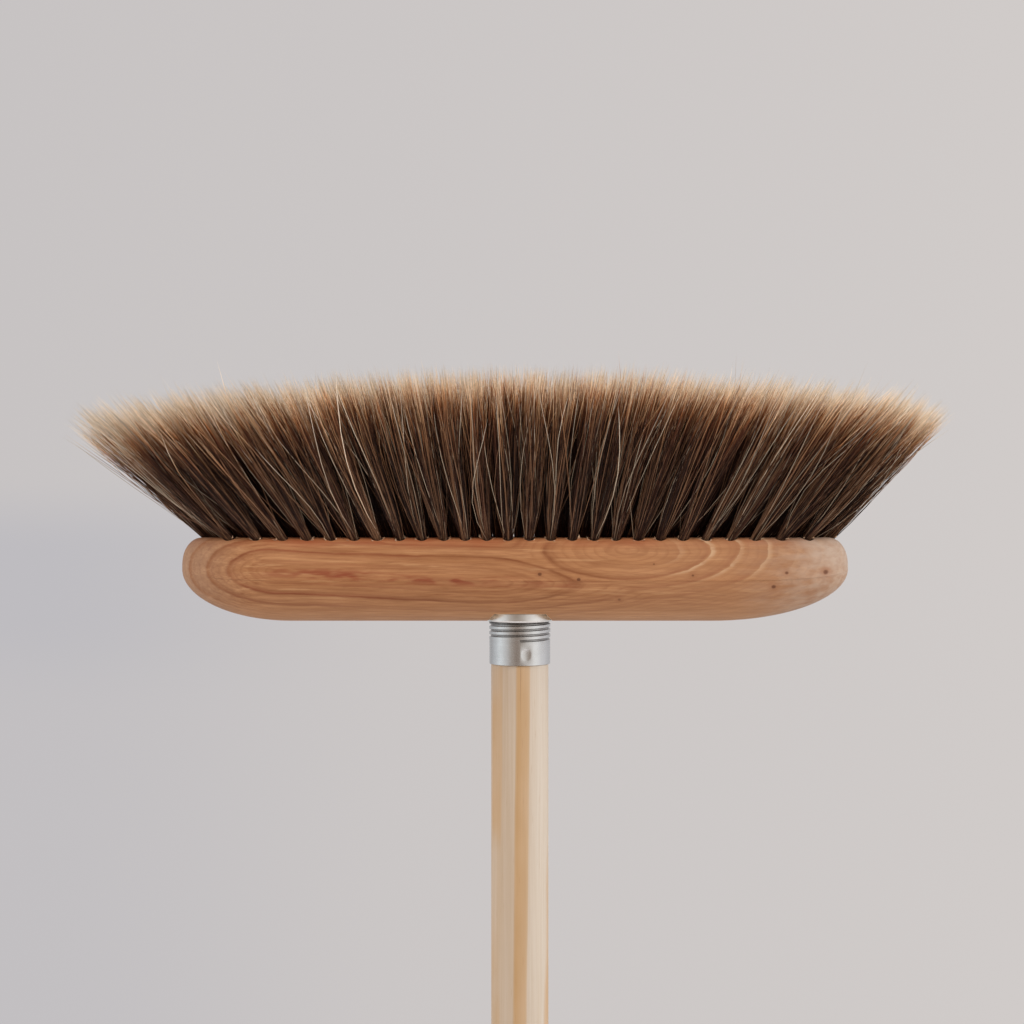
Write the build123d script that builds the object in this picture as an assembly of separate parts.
from build123d import *
import math
import os

# Floor broom, standing on its handle with the hair up.  Millimetres.
# Origin: centre of the handle's lower end.  +Z along the handle towards the
# head, +X (right) along the head, -Y the broad front.

# ---- handle ----
HANDLE_D = 24.0
HANDLE_LEN = 1204.0        # to the top of the neck, inside the ferrule
HANDLE_END_R = 5.0         # rounding of the free end
NECK_Z = 1170.6            # shoulder where the ferrule's skirt ends
NECK_R = 11.3
NECK_TOP_BEVEL = 1.5
SHOULDER_BEVEL = 0.4
HANG_HOLE_D = 6.0
HANG_HOLE_Z = 30.0
HANG_HOLE_OVERRUN = 5.0    # cutter beyond each side of the handle

# ---- ferrule ----
FERRULE_R = 12.75          # plain skirt
FERRULE_BORE_R = 11.4
FERRULE_TOP = 1206.0
FERRULE_CAP_T = 1.6
LEAD_IN = 0.9              # bevel where the thread starts

# ---- thread, male on the ferrule and female in the insert ----
THREAD_CREST_R = 12.85
THREAD_ROOT_R = 12.15
THREAD_PITCH = 2.2
THREAD_Z0 = 1180.5
CREST_Z0 = THREAD_Z0 + 0.4         # lower end of the crest-size barrel
GROOVE_Z0 = THREAD_Z0 + 0.2        # where the male groove's helix starts
EXTRA_TURNS = 0.6
THREAD_START_ANGLE = -90.0
# groove profiles: (radial offset, height offset) from the helix
MALE_GROOVE = [(0.0, -0.2), (0.0, 0.2), (1.3, 0.85), (1.3, -0.85)]
FEMALE_GROOVE = [(-0.3, -1.02), (-0.3, 1.02), (0.0, 0.95), (0.7, 0.75), (0.7, -0.75), (0.0, -0.95)]

# ---- crimp dimple: a spherical dent in the ferrule, matched in the wood ----
DIMPLE_X, DIMPLE_Z = 2.55, 1175.05
DIMPLE_R, DIMPLE_DEPTH = 2.8, 0.55
DIMPLE_WALL = 0.75         # metal left behind the dent
DIMPLE_WOOD_OFFSET = 0.95  # the wood's dent clears that metal
BUMP_OUTER_R = FERRULE_BORE_R + 0.3
BUMP_INNER_R = 9.0
BUMP_Z0, BUMP_Z1 = NECK_Z + 0.6, NECK_Z + 9.0

DIMPLE_BALL_R = (DIMPLE_R ** 2 + DIMPLE_DEPTH ** 2) / (2 * DIMPLE_DEPTH)
DIMPLE_ANGLE = math.asin(DIMPLE_X / FERRULE_R)
DIMPLE_BALL_REACH = FERRULE_R - DIMPLE_DEPTH + DIMPLE_BALL_R
DIMPLE_CENTRE = (DIMPLE_BALL_REACH * math.sin(DIMPLE_ANGLE),
                 -DIMPLE_BALL_REACH * math.cos(DIMPLE_ANGLE), DIMPLE_Z)

# ---- block ----
LEFT, RIGHT = -1, 1
CROWN_Z = 1188.5           # back of the block, at the socket
BLOCK_H = 35.0
FACE_Z = CROWN_Z + BLOCK_H # flat face the hair stands out of
END_X = {LEFT: 141.4, RIGHT: 137.4}    # from the socket's axis to each end
LOW_REACH = {LEFT: 46.0, RIGHT: 57.0}  # long curves from the back up to the ends
LOW_RISE = 22.0
TOP_REACH = 10.0           # short curves from the face down to the ends
TOP_DROP = BLOCK_H - LOW_RISE
HALF_W = 27.5
PLAN_REACH = 45.0          # rounded ends, seen from above
SHOULDER_Y = 7.0           # rounded shoulders along the face
SHOULDER_MAX_SHARE = 0.45  # of the half width, near the ends
SHOULDER_EXPONENT = 2.7    # superellipse exponents
BACK_EXPONENT = 2.25
SHOULDER_SPANS, BACK_SPANS = 8, 20     # spline intervals
# loft stations, outward from the straight middle, for the left reach;
# the right end's extra reach is spread over the first STRETCH_END
STATIONS = [0, 1.5, 6, 14, 22, 29, 34, 36.5, 38.5, 40.5, 42.3, 43.8, 44.9, 45.6]
STRETCH_END = 34.0

# ---- socket ----
COLLAR_R = 13.65
COLLAR_BORE_R = 13.05
COLLAR_H = 3.6             # depth of the seat milled across the crown
COLLAR_PROUD = 0.1         # stands out of the crown
COLLAR_BEVEL_R, COLLAR_BEVEL_H = 0.35, 0.6
COLLAR_GAP = 0.1           # around the collar
SEAT_Z = CROWN_Z + COLLAR_H
SEAT_GAP = 0.05            # collar and insert each stop this far from SEAT_Z
SEAT_HALF_BOTTOM = 10.6
SEAT_HALF_TOP = 13.75
SEAT_FLARE = 0.9           # widening of the cutter outside the crown
SEAT_CUT_Y = 40.0
INSERT_R = 15.0
INSERT_TOP_Z = CROWN_Z + 20.5
INSERT_CAP_T = 1.6
INSERT_END_GAP = 0.3
INSERT_CREST_R = 12.4      # tips of the female thread
OVERCUT = 1.0              # cutters run this far past a surface

# ---- tufts ----
ROW_PITCH = 11.3           # between rows, across the block
TUFT_PITCH = 8.7           # along a row, at the middle
PITCH_GROWTH = 0.0816      # tufts open slightly towards the ends
ROW_COUNTS = (26, 27, 28, 27, 26)      # front to back
TUFT_MID_X = -0.5          # middle of the pattern, just left of the socket
END_SPREAD = 3.5           # the last tufts stand this much further out
END_SPREAD_POWER = 8
TUFT_EDGE_MARGIN = 4.8     # rows draw together to follow the rounded ends
EVEN_END = (max(ROW_COUNTS) - 1) / 2 * TUFT_PITCH
OPENED_END = EVEN_END * (1 + PITCH_GROWTH)
LEAN_END = 45.5            # degrees along X, last tuft of the middle row
LEAN_PER_ROW = 7.0         # degrees outward in Y
HOLE_R = 2.2
HOLE_DEPTH = 10.0
HOLE_OVERRUN = 6.0
ROOT_R = 2.0
ROOT_BOTTOM_GAP = 0.2
ROOT_TOP_GAP = 0.3
ANCHOR_LEN, ANCHOR_T, ANCHOR_H = 5.8, 0.45, 2.0
ANCHOR_LIFT = 1.6          # above the hole's bottom
SLOT_EXTRA_LEN, SLOT_GAP = 2.0, 0.1
HAIR_LEN, HAIR_LEN_END = 67.0, 72.0
HAIR_GAP = 1.6             # the hair starts this far above the face
HAIR_FOOT_R, HAIR_TIP_R = 1.9, 4.7
HAIR_SIDES = 8


def save(shape, name):
    shape.label = name
    export_step(shape, f"parts/{name}.step")


def drum(radius, z0, z1):
    return Pos(0, 0, z0) * extrude(Circle(radius), z1 - z0)


def cut_thread(body, profile, radius, z0, turns, least_volume):
    """Cut a right-hand helical groove, failing loudly if the boolean removes too little."""
    helix = Helix(pitch=THREAD_PITCH, height=THREAD_PITCH * turns, radius=radius)
    face = make_face(Polyline(*[(radius + dr, 0, dz) for dr, dz in profile], close=True))
    groove = sweep(face, path=helix, is_frenet=True)
    threaded = body - Pos(0, 0, z0) * Rot(0, 0, THREAD_START_ANGLE) * groove
    assert body.volume - threaded.volume > least_volume, "the thread did not cut"
    return threaded


def dimple_ball(offset=0.0):
    return Pos(*DIMPLE_CENTRE) * Sphere(DIMPLE_BALL_R + offset)


# ---- handle and ferrule ----
def make_handle():
    radius = HANDLE_D / 2
    with BuildSketch(Plane.XZ) as profile:
        with BuildLine():
            Line((0, 0), (radius - HANDLE_END_R, 0))
            RadiusArc((radius - HANDLE_END_R, 0), (radius, HANDLE_END_R), -HANDLE_END_R)
            Polyline((radius, HANDLE_END_R), (radius, NECK_Z - SHOULDER_BEVEL),
                     (radius - SHOULDER_BEVEL, NECK_Z), (NECK_R, NECK_Z),
                     (NECK_R, HANDLE_LEN - NECK_TOP_BEVEL),
                     (NECK_R - NECK_TOP_BEVEL, HANDLE_LEN), (0, HANDLE_LEN), (0, 0))
        make_face()
    handle = revolve(profile.sketch, Axis.Z)
    hole = extrude(Circle(HANG_HOLE_D / 2), HANDLE_D + 2 * HANG_HOLE_OVERRUN)
    handle = handle - Pos(0, radius + HANG_HOLE_OVERRUN, HANG_HOLE_Z) * Rot(90, 0, 0) * hole
    return handle - dimple_ball(DIMPLE_WOOD_OFFSET)


def make_ferrule():
    ferrule = drum(FERRULE_R, NECK_Z, CREST_Z0) + drum(THREAD_CREST_R, CREST_Z0, FERRULE_TOP)
    turns = (FERRULE_TOP - THREAD_Z0) / THREAD_PITCH + EXTRA_TURNS
    ferrule = cut_thread(ferrule, MALE_GROOVE, THREAD_ROOT_R, GROOVE_Z0, turns, least_volume=300)

    # bevel the top: cut away what lies outside a cone
    bevel_z, cone_h = FERRULE_TOP - LEAD_IN, LEAD_IN + 0.1
    cone = Pos(0, 0, bevel_z) * Cone(THREAD_CREST_R, THREAD_CREST_R - cone_h, cone_h,
                                     align=(Align.CENTER, Align.CENTER, Align.MIN))
    ferrule = ferrule - (drum(THREAD_CREST_R + 2, bevel_z, FERRULE_TOP + OVERCUT) - cone)
    ferrule = ferrule - drum(FERRULE_BORE_R, NECK_Z - OVERCUT, FERRULE_TOP - FERRULE_CAP_T)

    # metal pushed into the bore behind the dimple; the box keeps only the front
    wall_zone = drum(BUMP_OUTER_R, BUMP_Z0, BUMP_Z1) - drum(BUMP_INNER_R, BUMP_Z0, BUMP_Z1)
    bump = dimple_ball(DIMPLE_WALL) & wall_zone
    bump = bump & Pos(0, -11, NECK_Z + 5) * Box(12, 12, 10)
    return ferrule + bump - dimple_ball()


# ---- socket ----
def make_collar():
    z0, z1 = CROWN_Z - COLLAR_PROUD, SEAT_Z - SEAT_GAP
    profile = [(COLLAR_BORE_R, z0), (COLLAR_R - COLLAR_BEVEL_R, z0),
               (COLLAR_R, z0 + COLLAR_BEVEL_H), (COLLAR_R, z1), (COLLAR_BORE_R, z1)]
    return revolve(make_face(Polyline(*[(r, 0, z) for r, z in profile], close=True)), Axis.Z)


def make_insert():
    z0, bore_top = SEAT_Z + SEAT_GAP, INSERT_TOP_Z - INSERT_CAP_T
    insert = drum(INSERT_R, z0, INSERT_TOP_Z) - drum(INSERT_CREST_R, z0 - OVERCUT, bore_top)
    # the female groove follows the ferrule's ridges, half a pitch from its grooves
    whole_pitches = math.floor((z0 - THREAD_Z0) / THREAD_PITCH) - 1
    start_z = GROOVE_Z0 + (whole_pitches + 0.5) * THREAD_PITCH
    turns = (bore_top - z0) / THREAD_PITCH + EXTRA_TURNS
    return cut_thread(insert, FEMALE_GROOVE, INSERT_CREST_R, start_z, turns, least_volume=200)


# ---- block ----
def side_of(x):
    return LEFT if x < 0 else RIGHT


def end_curve(x, reach):
    """1 along the middle, falling to 0 at the end on a quarter ellipse."""
    beyond = abs(x) - (END_X[side_of(x)] - reach)
    return 1.0 if beyond <= 0 else math.sqrt(max(0.0, 1 - (beyond / reach) ** 2))


def half_width(x):
    return HALF_W * end_curve(x, PLAN_REACH)


def signed_power(value, power):
    return 0.0 if abs(value) <= 1e-9 else math.copysign(abs(value) ** power, value)


def section(x):
    """Closed wire of the block at x: flat face, rounded shoulders, crowned back."""
    width = half_width(x)
    low = CROWN_Z + LOW_RISE * (1 - end_curve(x, LOW_REACH[side_of(x)]))
    high = FACE_Z - TOP_DROP * (1 - end_curve(x, TOP_REACH))
    middle = CROWN_Z + LOW_RISE
    shoulder = min(SHOULDER_Y, SHOULDER_MAX_SHARE * width)

    def arc(centre_y, radius_y, radius_z, start, end, exponent, spans):
        points = []
        for i in range(spans + 1):
            angle = math.radians(start + (end - start) * i / spans)
            points.append((x, centre_y + radius_y * signed_power(math.cos(angle), 2 / exponent),
                           middle + radius_z * signed_power(math.sin(angle), 2 / exponent)))
        return points

    def shoulder_arc(side, start, end):
        return arc(side * (width - shoulder), shoulder, high - middle, start, end,
                   SHOULDER_EXPONENT, SHOULDER_SPANS)

    rear = shoulder_arc(1, 90, 0)
    back = arc(0, width, middle - low, 0, -180, BACK_EXPONENT, BACK_SPANS)
    front = shoulder_arc(-1, 180, 90)
    return Wire([Line(front[-1], rear[0]),
                 Spline(*rear, tangents=((0, 1, 0), (0, 0, -1))),
                 Spline(*back, tangents=((0, 0, -1), (0, 0, 1))),
                 Spline(*front, tangents=((0, 0, 1), (0, 1, 0)))])


def make_block_end(side):
    start = END_X[side] - LOW_REACH[side]
    extra = LOW_REACH[side] - LOW_REACH[LEFT]
    places = [start + out + extra * min(1.0, out / STRETCH_END) for out in STATIONS]
    return Solid.make_loft([section(side * place) for place in places], ruled=False)


def make_block(holes):
    # straight middle, then one smooth loft to each end
    straight = {side: END_X[side] - LOW_REACH[side] for side in (LEFT, RIGHT)}
    middle_face = make_face(section(-straight[LEFT]).edges())
    block = extrude(middle_face, amount=straight[LEFT] + straight[RIGHT], dir=(1, 0, 0))
    block = block + make_block_end(RIGHT) + make_block_end(LEFT)

    # trapezoid seat milled across the crown, then the collar's and insert's pockets
    right_side = [(SEAT_HALF_TOP + SEAT_FLARE, CROWN_Z - OVERCUT), (SEAT_HALF_TOP, CROWN_Z),
                  (SEAT_HALF_BOTTOM, SEAT_Z)]
    outline = right_side + [(-x, z) for x, z in reversed(right_side)]
    seat = make_face(Polyline(*[(x, 0, z) for x, z in outline], close=True))
    block = block - extrude(seat, amount=SEAT_CUT_Y, dir=(0, 1, 0), both=True)
    block = block - drum(COLLAR_R + COLLAR_GAP, CROWN_Z - OVERCUT, SEAT_Z)
    block = block - drum(INSERT_R, SEAT_Z - OVERCUT, INSERT_TOP_Z + INSERT_END_GAP)
    return block - holes


# ---- tufts ----
def tufts(row):
    """(x, y, direction, length) of each tuft of a row, 0 (front) to 4."""
    count = ROW_COUNTS[row]
    layout = []
    for i in range(count):
        even = (i - (count - 1) / 2) * TUFT_PITCH
        share = even / EVEN_END
        opened = even * (1 + PITCH_GROWTH * share ** 2)
        spread = END_SPREAD * math.copysign(abs(share) ** END_SPREAD_POWER, even)
        x = opened + spread + TUFT_MID_X
        narrowing = min(1.0, (half_width(x) - TUFT_EDGE_MARGIN) / (HALF_W - TUFT_EDGE_MARGIN))
        y = (row - 2) * ROW_PITCH * narrowing
        lean_x = math.radians(LEAN_END * opened / OPENED_END)
        lean_y = math.radians(LEAN_PER_ROW * y / ROW_PITCH)
        direction = Vector(math.tan(lean_x), math.tan(lean_y), 1).normalized()
        length = HAIR_LEN + (HAIR_LEN_END - HAIR_LEN) * (opened / OPENED_END) ** 2
        layout.append((x, y, direction, length))
    return layout


def on_axis(x, y, direction, distance):
    """Plane whose Z is the tuft's axis, at a distance along it from the face."""
    origin = Vector(x, y, FACE_Z) + direction * distance
    x_dir = Vector(1, 0, 0) - direction * direction.X
    return Plane(origin=origin, x_dir=x_dir, z_dir=direction)


def make_hole(x, y, direction):
    bottom = on_axis(x, y, direction, -HOLE_DEPTH)
    return Solid.make_cylinder(HOLE_R, HOLE_DEPTH + HOLE_OVERRUN, bottom)


def anchor_plane(x, y, direction):
    return on_axis(x, y, direction, -HOLE_DEPTH + ANCHOR_LIFT + ANCHOR_H / 2)


def make_root(x, y, direction, _):
    """Bundle in the hole, slotted for its anchor and short enough to stay below the face."""
    length = HOLE_DEPTH - ROOT_TOP_GAP - abs(direction.X) * ROOT_R - ROOT_BOTTOM_GAP
    bottom = on_axis(x, y, direction, -HOLE_DEPTH + ROOT_BOTTOM_GAP)
    slot = Box(ANCHOR_LEN + SLOT_EXTRA_LEN, ANCHOR_T + SLOT_GAP, ANCHOR_H + SLOT_GAP)
    return Solid.make_cylinder(ROOT_R, length, bottom) - anchor_plane(x, y, direction) * slot


def make_anchor(x, y, direction, _):
    return anchor_plane(x, y, direction) * Box(ANCHOR_LEN, ANCHOR_T, ANCHOR_H)


def polygon_corners(radius):
    angles = [math.pi / HAIR_SIDES * (1 + 2 * k) for k in range(HAIR_SIDES)]
    return [Vector(radius * math.cos(a), radius * math.sin(a), 0) for a in angles]


def make_hair(x, y, direction, length):
    """Oblique eight-sided frustum: level foot, square-cut tip, sides in triangles."""
    foot_centre = Vector(x, y, FACE_Z) + direction * (HAIR_GAP / direction.Z)
    foot = [foot_centre + corner for corner in polygon_corners(HAIR_FOOT_R)]
    tip_plane = on_axis(x, y, direction, length)
    tip = [tip_plane.from_local_coords(corner) for corner in polygon_corners(HAIR_TIP_R)]
    outlines = [foot, tip]
    for k in range(HAIR_SIDES):
        following = (k + 1) % HAIR_SIDES
        outlines.append([foot[k], foot[following], tip[following]])
        outlines.append([foot[k], tip[following], tip[k]])
    return Solid(Shell([Face(Wire.make_polygon(points, close=True)) for points in outlines]))


def make_row(make_piece, row):
    solids = []
    for tuft in tufts(row):
        solids += list(make_piece(*tuft).solids())
    return Compound(children=solids)


os.makedirs("parts", exist_ok=True)
save(make_handle(), "handle")
save(make_ferrule(), "ferrule")
save(make_collar(), "socket_collar")
save(make_insert(), "socket_insert")
rows = range(len(ROW_COUNTS))
save(make_block([make_hole(*tuft[:3]) for row in rows for tuft in tufts(row)]), "stock")
for row in rows:
    save(make_row(make_root, row), f"tuft_roots_row_{row + 1}")
    save(make_row(make_anchor, row), f"tuft_anchors_row_{row + 1}")
    save(make_row(make_hair, row), f"bristles_row_{row + 1}")
